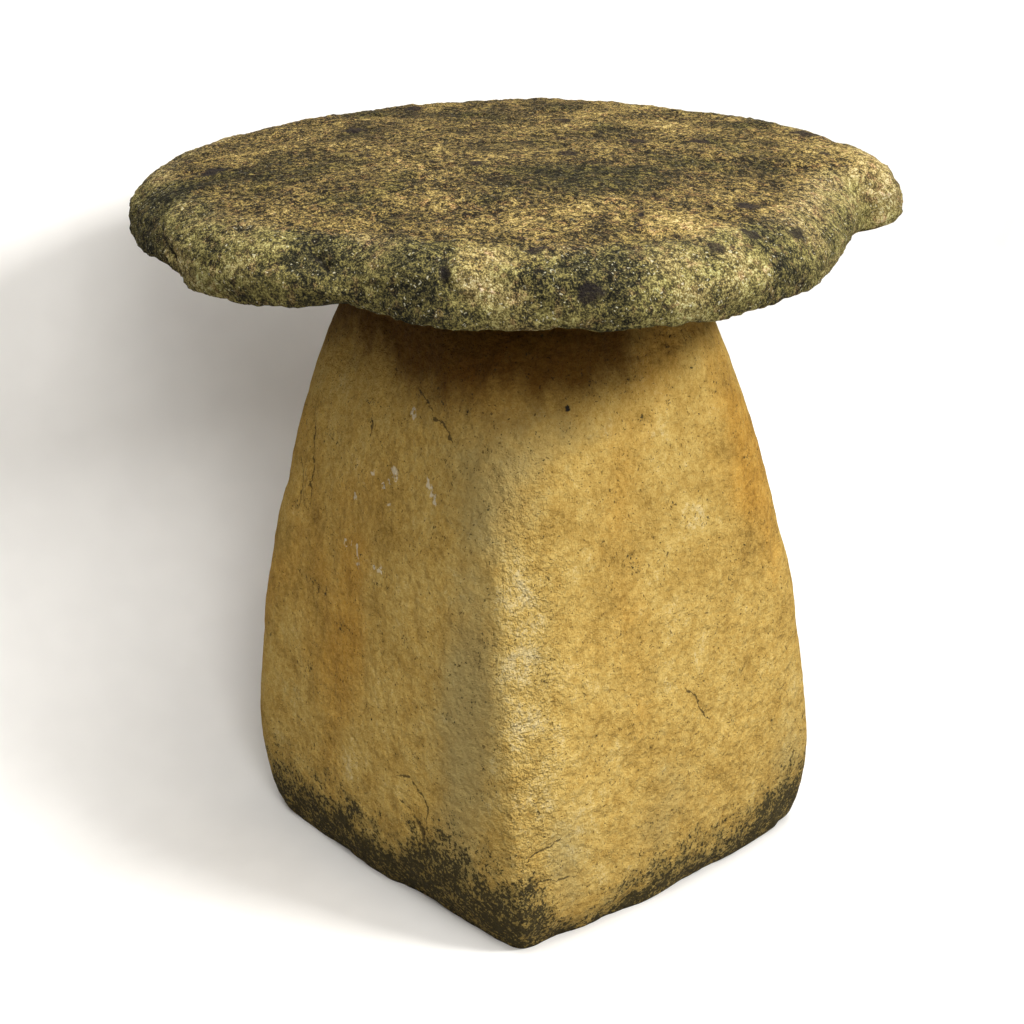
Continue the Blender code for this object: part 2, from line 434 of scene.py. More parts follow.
def base_relief(points, angle, height):
    """How far the weathered surface stands out from the dressed one, in metres: swells, lumps and grain,
    plus a rougher, worn front arris, a crumbling foot, pits where noise runs high, and a shoulder."""
    even = sum(relief_layer(points, layer) for layer in (BASE_SWELLS, BASE_LUMPS, BASE_GRAIN))
    ridge = bump(angle, -46.0, 9.0) * step_up(height, 0.02, 0.07) * (1.0 - step_up(height, 0.27, 0.36))
    rough = ridge * (relief_layer(points, RIDGE_GRAIN) - RIDGE_WEAR)
    crumble = (1.0 - step_up(height, 0.0, 0.055)) * relief_layer(points, FOOT_CRUMBLE)
    pits = -PIT_DEPTH * step_up(lattice_noise(points, PIT_SIZE, 61), 0.45, 0.85)
    shoulder = SHOULDER * bump(angle, -134.0, 11.0) * step_up(height, 0.03, 0.10)
    return even + rough + crumble + pits + shoulder


def rounded_head(edge):
    """Rings over the worn edge of the head. At each roll an edge point goes inwards by wear * (1 - cos),
    and up by what is left of the height * sin."""
    rolls = np.radians(HEAD_ROLLS)[:, None]
    inward = edge[:, :2].mean(axis=0) - edge[:, :2]
    inward /= np.linalg.norm(inward, axis=1, keepdims=True)
    flat = edge[None, :, :2] + inward[None] * (HEAD_EDGE_WEAR * (1.0 - np.cos(rolls)))[..., None]
    level = edge[None, :, 2] + (BASE_HEIGHT - edge[None, :, 2]) * np.sin(rolls)
    return np.concatenate((flat, level[..., None]), axis=-1)


def base_stone():
    """The base stone's whole surface, with the masks that its material reads."""
    angle = np.arange(BASE_COUNT) * 360.0 / BASE_COUNT
    height = np.linspace(0.0, BASE_HEIGHT - HEAD_EDGE_WEAR, BASE_STATIONS)
    angle, height = np.meshgrid(angle, height)
    side = base_place(angle, height)
    normals = surface_normals(side)
    out = base_relief(side, np.degrees(np.arctan2(side[..., 1], side[..., 0])), height)
    cracks = line_attribute(side, normals, [base_line(*line) for line in BASE_CRACKS])
    scrapes = line_attribute(side, normals, [base_line(*line) for line in BASE_SCRAPES])
    groove = np.exp(-((cracks[..., 0] / CRACK_HALF_WIDTH) ** 2)) * np.clip(cracks[..., 1], 0.0, 1.0)
    out -= CRACK_DEPTH * groove
    out = np.where(height < 1e-6, np.minimum(out, 0.0), out)
    side = side + normals * out[..., None]
    side[0, :, 2] = 0.0

    rings = np.concatenate((side, rounded_head(side[-1])))
    points = rings.reshape(-1, 3)
    side_count = len(points)
    faces = band_faces(0, len(rings), BASE_COUNT).tolist()
    top_points, top_faces = closing_disc(
        rings[-1], side_count - BASE_COUNT, side_count, BASE_CLOSING_RINGS, BASE_HEIGHT
    )
    bottom_start = side_count + len(top_points)
    bottom_points, bottom_faces = closing_disc(
        rings[0], 0, bottom_start, BASE_CLOSING_RINGS, 0.0, downwards=True
    )
    points = np.concatenate((points, top_points, bottom_points))
    points = fit_box(points, BASE_LOW, BASE_HIGH)

    height = points[:, 2]
    angle = np.degrees(np.arctan2(points[:, 1], points[:, 0]))
    filler = np.zeros((len(points) - side_count, 3))
    filler[:, 0] = 1.0

    def spread(field):
        """Carries a line field of the side over the head's edge, and keeps lines off the discs."""
        tail = np.repeat(field[-1:], len(rings) - len(side), axis=0)
        return np.concatenate((np.concatenate((field, tail)).reshape(-1, 3), filler))

    attributes = {
        "crack": spread(cracks),
        "scrape": spread(scrapes),
        "hole": base_holes(points),
        "ridge": np.clip(blobs(angle, height, BASE_RIDGE), 0.0, 1.0),
        # dark growth along the foot, and a painted shadow line at the ground
        "crust_and_foot_shadow": base_crust_and_foot_shadow(points, angle, height),
        "veil": drifting(points, blobs(angle, height, VEIL), (0.080, 0.080, 0.160), 81, 0.22),
        # pale worn stone, and a painted highlight along the front arris's crest
        "pale": drifting(points, blobs(angle, height, PALE_AND_HIGHLIGHT), (0.035, 0.035, 0.070), 91, 0.30),
        "rust": drifting(points, blobs(angle, height, RUST), (0.070, 0.070, 0.110), 101, 0.35),
        # painted shade under the cap, in part a damp stain
        "stain_and_painted_shade": base_stain_and_painted_shade(points, angle, height),
    }
    return mesh_piece("base_stone_surface", points, faces + top_faces + bottom_faces, attributes)


# The roughened crest of the front arris: angle, height, half width in degrees, half height, strength.
BASE_RIDGE = ((-44.5, 0.240, 8.0, 0.110, 0.90), (-44.5, 0.100, 6.0, 0.080, 0.80))


def base_holes(points):
    """1 at the middle of each small round hole and 0 from its edge outwards, as 1 - distance / radius."""
    depth = np.full(len(points), -4.0)
    for hole_angle, hole_height, radius in BASE_HOLES:
        centre = base_line((hole_angle, hole_height))[0]
        distance = np.linalg.norm(points - centre, axis=1)
        depth = np.maximum(depth, 1.0 - distance / radius)
    return depth


# The dark growth's height, its drift (as a layer of unevenness), the height over which it fades, and
# where it reaches higher or lower: angle, half width, height.
CRUST_REACH = 0.038
CRUST_DRIFT = (0.014, 0.060, 71, 3, 0.6)
CRUST_FADE = 0.056
CRUST_SWELLS = (
    (-62.0, 17.0, 0.034),
    (-108.0, 26.0, 0.022),
    (-47.0, 7.0, 0.016),
    (-30.0, 11.0, -0.024),
    (-8.0, 30.0, -0.003),
    (38.0, 12.0, 0.010),
)


def base_crust_and_foot_shadow(points, angle, height):
    """Dark growth along the foot: 1 at the ground, falling through 0.5 at an uneven height that is
    greater on the -Y face and least beside the front arris on the +X face. Below 14 mm it is raised
    further, a painted shadow line where the foot meets the ground."""
    reach = CRUST_REACH + relief_layer(points * (1.0, 1.0, 0.2), CRUST_DRIFT)
    reach += sum(up * bump(angle, centre, half_width) for centre, half_width, up in CRUST_SWELLS)
    # Painted shadow line along the ground: the mask is raised below 14 mm, fully below 4 mm.
    edge = 0.18 * (1.0 - step_up(height, 0.004, 0.014))
    return np.clip(0.5 + edge + (reach - height) / CRUST_FADE, 0.0, 1.0)


# Patches on the base: angle, height, half width in degrees, half height, strength. The veil of algae is
# grey-green and lies beside the front arris; freshly worn stone is pale in streaks, and the pale along
# the front arris's crest is a painted highlight of its lit side; rusty stone follows the outer arrises;
# and painted shade, in part a damp stain, hangs under the cap, deepest where the cap's shadow falls.
VEIL = (
    (-57.0, 0.190, 8.0, 0.100, 1.00),
    (-60.0, 0.060, 9.0, 0.060, 0.50),
    (-52.0, 0.330, 13.0, 0.045, 0.70),
    (-36.0, 0.362, 12.0, 0.022, 0.50),
    (-36.0, 0.080, 7.0, 0.050, 0.55),
    (-10.0, 0.065, 14.0, 0.040, 0.40),
    (-88.0, 0.180, 12.0, 0.060, 0.15),
    (36.0, 0.080, 9.0, 0.050, 0.45),
    (140.0, 0.200, 12.0, 0.120, 0.80),
    (205.0, 0.100, 20.0, 0.080, 0.50),
)
# The first patch, along the front arris's crest, is a painted highlight of its lit side; the others are
# pale worn stone.
PALE_AND_HIGHLIGHT = (
    (-45.5, 0.220, 4.5, 0.110, 0.85),
    (-37.0, 0.150, 7.0, 0.100, 0.45),
    (-30.0, 0.080, 9.0, 0.040, 0.45),
    (4.0, 0.345, 10.0, 0.040, 0.50),
    (8.0, 0.285, 4.0, 0.040, 0.45),
    (-24.0, 0.300, 10.0, 0.050, 0.15),
    (-96.0, 0.090, 12.0, 0.030, 0.20),
    (100.0, 0.260, 14.0, 0.080, 0.35),
)
RUST = (
    (36.0, 0.330, 14.0, 0.090, 0.75),
    (10.0, 0.410, 18.0, 0.030, 0.70),
    (-100.0, 0.200, 14.0, 0.110, 0.45),
    (-60.0, 0.400, 40.0, 0.040, 0.45),
    (-20.0, 0.300, 9.0, 0.060, 0.35),
    (230.0, 0.250, 30.0, 0.100, 0.45),
)
# Painted shade under the cap, in part a damp stain, deepest where the cap's shadow falls.
STAIN_AND_SHADE = (
    (-72.0, 0.458, 66.0, 0.070, 1.60),
    (-26.0, 0.460, 24.0, 0.058, 0.90),
    (170.0, 0.455, 70.0, 0.070, 0.90),
)


def base_stain_and_painted_shade(points, angle, height):
    """Painted shade under the cap, in part a damp brown stain: its patches, made uneven by noise times
    their own strength.
    """
    drift = layered_noise(points, (0.030, 0.030, 0.090), 106, layers=3, fall=0.6)
    return np.clip(blobs(angle, height, STAIN_AND_SHADE) * (1.0 + 0.25 * drift), 0.0, 1.0)


# Cap stone ------------------------------------------------------------------------------------

CAP_COUNT = 768
CHAMFER_STATIONS = 7
LOWER_STATIONS = 7
UPPER_STATIONS = 24
TOP_SPACING = 0.0024
UNDERSIDE_RINGS = 7


def cap_outline(angle):
    """Radius of the widest line: a circle, worn swells and hollows, and a notch shaped by tanh."""
    radius = np.full(angle.shape, CAP_RADIUS)
    for centre, half_width, out in OUTLINE_SWELLS:
        radius += out * bump(angle, centre, half_width)
    offset = turn_between(angle, NOTCH_ANGLE)
    radius += NOTCH_DEPTH * np.tanh(offset / NOTCH_SHARPNESS) * np.exp(-((offset / NOTCH_REACH) ** 2))
    return radius


def cap_place(angle, radius, height):
    """Point at this angle and radius round the cap's centre."""
    turned = np.radians(angle)
    x = CAP_CENTRE[0] + radius * np.cos(turned)
    y = CAP_CENTRE[1] + radius * np.sin(turned)
    return np.stack((x, y, height + 0.0 * x), axis=-1)


def cap_line(*stations):
    """A line through (angle, radius, height above the underside) stations."""
    angle, radius, height = np.array(stations, float).T
    return cap_place(angle, radius, UNDERSIDE + height)


# Open joints and breaks in the rim, as (angle, radius, height above the underside).
CAP_CRACKS = (
    ((-52.3, 0.232, 0.044), (-51.9, 0.241, 0.040), (-51.5, 0.251, 0.033), (-50.5, 0.255, 0.026)),
    ((-112.0, 0.243, 0.042), (-108.5, 0.256, 0.035), (-105.0, 0.262, 0.028), (-98.3, 0.264, 0.018),
     (-96.5, 0.262, 0.005)),
    ((-2.0, 0.190, 0.050), (3.0, 0.203, 0.048), (8.5, 0.217, 0.045), (14.0, 0.226, 0.042)),
    ((-75.0, 0.236, 0.042), (-71.0, 0.243, 0.036), (-69.5, 0.246, 0.028)),
    ((165.0, 0.235, 0.042), (160.0, 0.252, 0.030), (158.0, 0.256, 0.016)),
    ((100.0, 0.245, 0.040), (104.0, 0.262, 0.026), (108.0, 0.264, 0.010)),
)
CAP_CRACK_HALF_WIDTH = 0.0032
CAP_CRACK_DEPTH = 0.0040
# Dark purple-black growths: angle, radius from the cap's centre, and size.
CAP_SPOTS = (
    (-125.0, 0.209, 0.014),
    (-69.9, 0.055, 0.007),
    (31.1, 0.042, 0.009),
    (69.1, 0.098, 0.012),
    (62.7, 0.139, 0.010),
    (70.0, 0.236, 0.016),
    (8.6, 0.197, 0.012),
    (-16.4, 0.184, 0.006),
    (-12.4, 0.248, 0.009),
    (-38.2, 0.229, 0.007),
    (-31.8, 0.260, 0.010),
    (-3.9, 0.238, 0.010),
    (7.0, 0.241, 0.010),
    (52.0, 0.222, 0.009),
    (-51.5, 0.247, 0.007),
    (190.0, 0.150, 0.012),
    (160.0, 0.210, 0.010),
    (120.0, 0.120, 0.009),
)


# Layers of unevenness: strength, size of the lumps, seed, layers, and how each falls to the next.
CAP_SWELLS = (0.0017, 0.090, 111, 2, 0.5)
CAP_LUMPS = (0.0013, (0.030, 0.030, 0.016), 121, 3, 0.6)
CAP_GRAIN = (0.00075, 0.0062, 131, 2, 0.8)
BEDS = (1.0, (0.060, 0.060, 0.0055), 141, 2, 0.5)
BED_SHIFT = (2.2, (0.110, 0.110, 0.060), 151, 2, 0.5)
BED_DEPTH = 0.0011
TERRACE_SPACING = 0.006
TERRACE_DEPTH = 0.0010
CAP_PIT_SIZE = (0.013, 0.013, 0.010)
CAP_PIT_DEPTH = 0.0020
SHELF_OUT = 0.0022
HOLLOW_DEPTH = 0.0042
UNDERCUT_DEPTH = 0.0030
END_FACET_DEPTH = 0.0065


def cap_relief(points, angle, height, rimness):
    """How far the surface stands out, in metres: swells, lumps and grain, plus beds laid bare on the
    rim, terraces (a smooth step less a straight rise) over the top, pits where noise runs high, and the
    shelf, the hollow, the undercut and the facet of the broken rim."""
    even = sum(relief_layer(points, layer) for layer in (CAP_SWELLS, CAP_LUMPS, CAP_GRAIN))
    bed_depth = BED_DEPTH + 0.0010 * bump(angle, 52.0, 22.0)
    beds = rimness * bed_depth * relief_layer(points, BEDS)
    level = relief_layer(points, BED_SHIFT) + height / TERRACE_SPACING
    level -= np.floor(level)
    terraces = (1.0 - 0.5 * rimness) * TERRACE_DEPTH * (step_up(level, 0.35, 0.65) - level)
    pits = -CAP_PIT_DEPTH * step_up(lattice_noise(points, CAP_PIT_SIZE, 161), 0.40, 0.85)

    shelf = step_up(angle, -52.0, -50.5) * (1.0 - step_up(angle, -40.0, -35.0))
    shelf *= step_up(height, 0.0300, 0.0335) * (1.0 - step_up(height, 0.0390, 0.0450))
    hollow = bump(angle, -72.0, 7.0) * np.exp(-(((height - 0.036) / 0.010) ** 2))
    undercut = bump(angle, -54.0, 9.0) * np.exp(-(((height - 0.022) / 0.012) ** 2))
    slant = angle - (-111.0 + (0.041 - height) * 380.0)
    facet = (1.0 - step_up(slant, -1.5, 0.5)) * step_up(slant, -24.0, -4.0) * rimness
    placed = SHELF_OUT * shelf - HOLLOW_DEPTH * hollow
    placed -= UNDERCUT_DEPTH * undercut + END_FACET_DEPTH * facet
    return even + beds + terraces + pits + placed


def lower_edge_lift(points, angle):
    """Height of the lower edge above the seat: the named breaks, and chips wherever noise runs high."""
    lift = sum(height * bump(angle, at, width) for at, width, height in LOWER_EDGE_BREAKS)
    chips = step_up(lattice_noise(points, 0.030, 171), 0.15, 0.55) * 0.0018
    gaps = step_up(lattice_noise(points, 0.009, 172), 0.35, 0.80) * 0.0014
    return lift + chips + gaps


def cap_rings():
    """Stations from the seat over the rim to the crown, each a ring of angles: points, how much each is
    rim (1) or top (0), and the spacing of the top's rings."""
    angle = np.arange(CAP_COUNT) * 360.0 / CAP_COUNT
    outline = cap_outline(angle)
    lift = lower_edge_lift(cap_place(angle, outline, UNDERSIDE), angle)
    widest = UNDERSIDE + WIDEST_HEIGHT
    rim_top = UNDERSIDE + RIM_HEIGHT
    for centre, half_width, up in RIM_TOP_SWELLS:
        rim_top = rim_top + up * bump(angle, centre, half_width)
    rings = []
    rimness = []
    for share in np.linspace(0.0, 1.0, CHAMFER_STATIONS, endpoint=False):
        radius = outline - UNDERSIDE_CHAMFER + (UNDERSIDE_CHAMFER - LOWER_EDGE_ROUND) * share
        rings.append(cap_place(angle, radius, UNDERSIDE + lift * share**2))
        rimness.append(0.4 * share)
    for roll in np.linspace(-math.pi / 2.0, 0.0, LOWER_STATIONS, endpoint=False):
        radius = outline - LOWER_EDGE_ROUND * (1.0 - math.cos(roll))
        rings.append(cap_place(angle, radius, widest + (WIDEST_HEIGHT - lift) * math.sin(roll)))
        rimness.append(1.0)
    for roll in np.linspace(0.0, math.pi / 2.0, UPPER_STATIONS, endpoint=False):
        radius = outline - UPPER_EDGE_ROUND * (1.0 - math.cos(roll))
        rings.append(cap_place(angle, radius, widest + (rim_top - widest) * math.sin(roll)))
        rimness.append(math.cos(roll) ** 0.7)
    top_edge = outline - UPPER_EDGE_ROUND
    steps = int(CAP_RADIUS / TOP_SPACING)
    for share in np.linspace(0.0, 1.0, steps):
        radius = top_edge + (CROWN_FLAT_RADIUS - top_edge) * share
        rise = math.sin(share * math.pi / 2.0)
        rings.append(cap_place(angle, radius, rim_top + (CAP_HIGH[2] - rim_top) * rise))
        rimness.append(0.0)
    return np.array(rings), np.array(rimness)


def cap_stone():
    """The cap stone's whole surface, with the masks that its material reads."""
    rings, rimness = cap_rings()
    normals = surface_normals(rings)
    offset = rings[..., :2] - CAP_CENTRE
    angle = np.degrees(np.arctan2(offset[..., 1], offset[..., 0]))
    height = rings[..., 2] - UNDERSIDE
    rim = np.broadcast_to(rimness[:, None], angle.shape)
    out = cap_relief(rings, angle, height, rim)
    cracks = line_attribute(rings, normals, [cap_line(*line) for line in CAP_CRACKS])
    groove = np.exp(-((cracks[..., 0] / CAP_CRACK_HALF_WIDTH) ** 2))
    out -= CAP_CRACK_DEPTH * groove * np.clip(cracks[..., 1] * 2.0, 0.0, 1.0)
    under = np.arange(len(rings)) < CHAMFER_STATIONS
    out[under] = np.minimum(out[under], 0.0) * rim[under]
    moved = rings + normals * out[..., None]
    moved[..., 2] = np.maximum(moved[..., 2], UNDERSIDE)

    points, faces, source = thinned_rings(moved)
    closing, closing_faces = closing_disc(
        moved[0], 0, len(points), UNDERSIDE_RINGS, UNDERSIDE, downwards=True
    )
    points = np.concatenate((points, closing))
    points = fit_box(points, CAP_LOW, CAP_HIGH)

    def spread(values, filler):
        """Picks a field's values for the kept points, and fills the underside's disc."""
        kept = values.reshape((-1,) + values.shape[2:])[source]
        tail = np.zeros((len(closing),) + values.shape[2:])
        tail[...] = filler
        return np.concatenate((kept, tail))

    plan = points[:, :2] - CAP_CENTRE
    bare = cap_patches(plan, BARE_RIM)
    grown = (0.055, 0.055, 0.030)
    sandy = (0.040, 0.040, 0.030)
    attributes = {
        "crack": spread(cracks, (1.0, -1.0, 0.0)),
        "rim": spread(rim, 0.3) * (1.0 - 0.85 * bare),
        # hollow: how far the surface is sunk, read as painted shade in the hollows
        "hollow": np.clip(-spread(out, 0.0) / 0.008 + 0.4, 0.0, 1.0),
        "spot": cap_spots(points, plan),
        "olive": drifting(points, cap_patches(plan, OLIVE), grown, 191, 0.55, 4, 0.30),
        "gold": drifting(points, cap_patches(plan, GOLD), sandy, 201, 0.55, 4, 0.25),
    }
    return mesh_piece("cap_stone_surface", points, faces + closing_faces, attributes)


def thinned_rings(rings):
    """Points, faces and source indices of a stack of rings. Where a ring has shrunk to half the size of
    the first, every second point is left out, so that faces stay of even size up to the crown."""
    count = rings.shape[1]
    stride = 1
    widest = CAP_RADIUS
    sources = []
    faces = []
    start = 0
    last = None
    for index, ring in enumerate(rings):
        size = np.linalg.norm(ring[:, :2] - CAP_CENTRE, axis=1).mean()
        halve = index > CHAMFER_STATIONS and size < 0.5 * widest
        if halve:
            stride *= 2
            widest *= 0.5
        source = index * count + np.arange(0, count, stride)
        here = np.arange(start, start + len(source))
        if last is not None and halve:
            faces += halving_faces(last, here)
        elif last is not None:
            faces += np.stack((last, np.roll(last, -1), np.roll(here, -1), here), axis=-1).tolist()
        sources.append(source)
        start += len(source)
        last = here
    faces.append(last.tolist())
    sources = np.concatenate(sources)
    return rings.reshape(-1, 3)[sources], faces, sources


# Round patches on the cap: angle, radius, size, strength. Tan stone runs over the rim where it is bare;
# dark olive lichen grows on the top and the rim; and golden lichen lies on the bright shelf of the front.
BARE_RIM = (
    (-47.5, 0.243, 0.014, 0.70),
    (-40.0, 0.243, 0.014, 0.70),
    (50.0, 0.258, 0.030, 0.70),
    (-92.0, 0.235, 0.016, 0.50),
)
OLIVE = (
    (-12.0, 0.110, 0.045, 0.80),
    (-125.0, 0.205, 0.030, 0.60),
    (-120.0, 0.150, 0.040, 0.35),
    (-72.0, 0.235, 0.022, 0.80),
    (-56.0, 0.252, 0.022, 0.90),
    (-116.0, 0.262, 0.034, 1.10),
    (-2.0, 0.240, 0.026, 0.60),
    (-30.0, 0.258, 0.030, 0.45),
    (-80.0, 0.120, 0.040, 0.30),
    (40.0, 0.110, 0.040, 0.20),
    (150.0, 0.170, 0.050, 0.40),
)
GOLD = (
    (-44.0, 0.241, 0.018, 1.00),
    (-49.5, 0.243, 0.010, 0.70),
    (-37.0, 0.242, 0.012, 0.70),
    (-85.0, 0.215, 0.030, 0.45),
    (-110.0, 0.215, 0.022, 0.35),
    (-14.0, 0.215, 0.040, 0.60),
    (60.0, 0.180, 0.050, 0.30),
    (50.0, 0.255, 0.036, 0.85),
    (20.0, 0.240, 0.030, 0.30),
    (110.0, 0.150, 0.060, 0.35),
)


def plan_place(angle, radius):
    """Place in plan from the cap's centre: (radius cos angle, radius sin angle)."""
    return radius * np.array((math.cos(math.radians(angle)), math.sin(math.radians(angle))))


def cap_spots(points, plan):
    """1 at the middle of each dark growth, 0 at its uneven edge. A growth lies where the surface is
    highest over its place in plan."""
    ragged = 0.45 * layered_noise(points, 0.010, 181, layers=2)
    depth = np.full(len(points), -1.0)
    for angle, radius, size in CAP_SPOTS:
        away = np.linalg.norm(plan - plan_place(angle, radius), axis=1)
        centre = points[np.argmin(10.0 * away - points[:, 2])]
        depth = np.maximum(depth, 1.0 - np.linalg.norm(points - centre, axis=1) / size)
    return np.clip(depth + ragged * (depth > -1.0), -1.0, 1.0)


def cap_patches(plan, places):
    """Sum over round patches of strength * exp(-(distance / size)^2)."""
    mask = np.zeros(len(plan))
    for angle, radius, size, strength in places:
        distance = np.linalg.norm(plan - plan_place(angle, radius), axis=1)
        mask += strength * np.exp(-((distance / size) ** 2))
    return mask


# Shader node helpers --------------------------------------------------------------------------


def add_node(tree, kind, links=None, **settings):
    """Adds a node, sets its properties, and fills its inputs from values or from other sockets."""
    made = tree.nodes.new(kind)
    for key, value in settings.items():
        setattr(made, key, value)
    for key, value in (links or {}).items():
        socket = made.inputs[key]
        if isinstance(value, bpy.types.NodeSocket):
            tree.links.new(value, socket)
        else:
            socket.default_value = value
    return made


def maths(tree, operation, first, second=0.0, third=0.0, clamp=False):
    """Output of a Math node."""
    made = add_node(tree, "ShaderNodeMath", {0: first, 1: second, 2: third}, operation=operation)
    made.use_clamp = clamp
    return made.outputs[0]


def total(tree, *terms):
    """Sum of values and sockets."""
    result = terms[0]
    for term in terms[1:]:
        result = maths(tree, "ADD", result, term)
    return result


def scaled(tree, value, factor):
    """A value times a factor."""
    return maths(tree, "MULTIPLY", value, factor)


def swing(tree, value, strength):
    """Moves a value from about 0.5 to about 0, and multiplies it by a strength."""
    return maths(tree, "MULTIPLY_ADD", value, strength, -0.5 * strength)


def levels(tree, value, stops):
    """Colour picked by a value from 0 to 1 out of stops of (position, colour)."""
    made = add_node(tree, "ShaderNodeValToRGB", {"Fac": value})
    elements = made.color_ramp.elements
    for _ in stops[2:]:
        elements.new(0.5)
    for element, (position, colour) in zip(elements, stops):
        element.position = position
        element.color = colour
    return made.outputs["Color"]


def ramp(tree, value, start, end, low=0.0, high=1.0):
    """Smooth step of a value from start to end, mapped to low and high."""
    made = add_node(
        tree,
        "ShaderNodeMapRange",
        {"Value": value, "From Min": start, "From Max": end, "To Min": low, "To Max": high},
        interpolation_type="SMOOTHSTEP",
    )
    return made.outputs["Result"]


def blend(tree, share, first, second, mode="MIX"):
    """Colour mixed from first to second by a share."""
    made = tree.nodes.new("ShaderNodeMix")
    made.data_type = "RGBA"
    made.blend_type = mode
    for index, value in ((0, share), (6, first), (7, second)):
        if isinstance(value, bpy.types.NodeSocket):
            tree.links.new(value, made.inputs[index])
        else:
            made.inputs[index].default_value = value
    return made.outputs[2]


def lay_over(tree, colour, *coats):
    """Lays colours over one another. A coat is (mask, share, colour), and covers by mask times share."""
    for mask, share, coat in coats:
        colour = blend(tree, scaled(tree, mask, share), colour, coat)
    return colour


def attribute(tree, name, output="Fac"):
    """A field stored on the mesh."""
    return add_node(tree, "ShaderNodeAttribute", attribute_name=name).outputs[output]


def noise(tree, place, scale, detail=2.0, roughness=0.5, distortion=0.0):
    """Noise texture of this many cells a metre, from 0 to 1."""
    links = {"Vector": place, "Scale": scale, "Detail": detail, "Roughness": roughness}
    links["Distortion"] = distortion
    return add_node(tree, "ShaderNodeTexNoise", links).outputs["Fac"]


def group_tree(name, inputs, outputs):
    """A new shader node group with float or vector sockets, and its two ends."""
    tree = bpy.data.node_groups.new(name, "ShaderNodeTree")
    for socket_name, kind, value in inputs:
        socket = tree.interface.new_socket(socket_name, in_out="INPUT", socket_type=kind)
        if value is not None:
            socket.default_value = value
    for socket_name, kind in outputs:
        tree.interface.new_socket(socket_name, in_out="OUTPUT", socket_type=kind)
    return tree, tree.nodes.new("NodeGroupInput").outputs, tree.nodes.new("NodeGroupOutput").inputs


def use_group(tree, group, **links):
    """Places a group in a material; keyword names have _ for spaces."""
    made = tree.nodes.new("ShaderNodeGroup")
    made.node_tree = group
    for key, value in links.items():
        socket = made.inputs[key.replace("_", " ")]
        if isinstance(value, bpy.types.NodeSocket):
            tree.links.new(value, socket)
        else:
            socket.default_value = value
    return made.outputs


# Shared effects -------------------------------------------------------------------------------


def make_pits_group():
    """Small round pits: cells of a Voronoi pattern whose own random value is below Density hold a pit
    of a random size. Mask is 1 in a pit and 0 round it."""
    tree, given, put = group_tree(
        "stone_pits",
        (
            ("Place", "NodeSocketVector", None),
            ("Scale", "NodeSocketFloat", 300.0),
            ("Density", "NodeSocketFloat", 0.3),
            ("Size", "NodeSocketFloat", 0.35),
        ),
        (("Mask", "NodeSocketFloat"),),
    )
    wobble = add_node(
        tree, "ShaderNodeTexNoise", {"Vector": given["Place"], "Scale": given["Scale"], "Detail": 0.0}
    )
    shift = add_node(
        tree,
        "ShaderNodeVectorMath",
        {0: wobble.outputs["Color"], 1: (0.5, 0.5, 0.5)},
        operation="SUBTRACT",
    )
    reach = maths(tree, "DIVIDE", 1.5, given["Scale"])
    shifted = add_node(
        tree, "ShaderNodeVectorMath", {0: shift.outputs["Vector"], "Scale": reach}, operation="SCALE"
    )
    moved = add_node(
        tree,
        "ShaderNodeVectorMath",
        {0: given["Place"], 1: shifted.outputs["Vector"]},
        operation="ADD",
    )
    cells = add_node(
        tree, "ShaderNodeTexVoronoi", {"Vector": moved.outputs["Vector"], "Scale": given["Scale"]}
    )
    dice = add_node(tree, "ShaderNodeSeparateColor", {"Color": cells.outputs["Color"]}).outputs
    kept = maths(tree, "LESS_THAN", dice["Red"], given["Density"])
    spread = total(tree, scaled(tree, dice["Green"], 0.9), 0.35)
    share = maths(tree, "DIVIDE", cells.outputs["Distance"], scaled(tree, given["Size"], spread))
    depth = maths(tree, "SUBTRACT", 1.0, share, clamp=True)
    pit = scaled(tree, depth, kept)
    tree.links.new(ramp(tree, pit, 0.0, 0.45), put["Mask"])
    return tree


def make_grain_group():
    """Mineral grain: fine and coarse noise added, as a Height from -1 to 1 and a Speckle from 0 to 1."""
    tree, given, put = group_tree(
        "stone_grain",
        (
            ("Place", "NodeSocketVector", None),
            ("Scale", "NodeSocketFloat", 500.0),
            ("Coarse", "NodeSocketFloat", 0.5),
        ),
        (("Speckle", "NodeSocketFloat"), ("Height", "NodeSocketFloat")),
    )
    fine = noise(tree, given["Place"], given["Scale"], 2.0, 0.65)
    coarse = noise(tree, given["Place"], scaled(tree, given["Scale"], 0.3), 1.0, 0.6)
    both = total(tree, fine, scaled(tree, coarse, given["Coarse"]))
    level = maths(tree, "DIVIDE", both, maths(tree, "ADD", given["Coarse"], 1.0))
    tree.links.new(ramp(tree, level, 0.36, 0.64), put["Speckle"])
    tree.links.new(maths(tree, "MULTIPLY_ADD", level, 4.0, -2.0), put["Height"])
    return tree


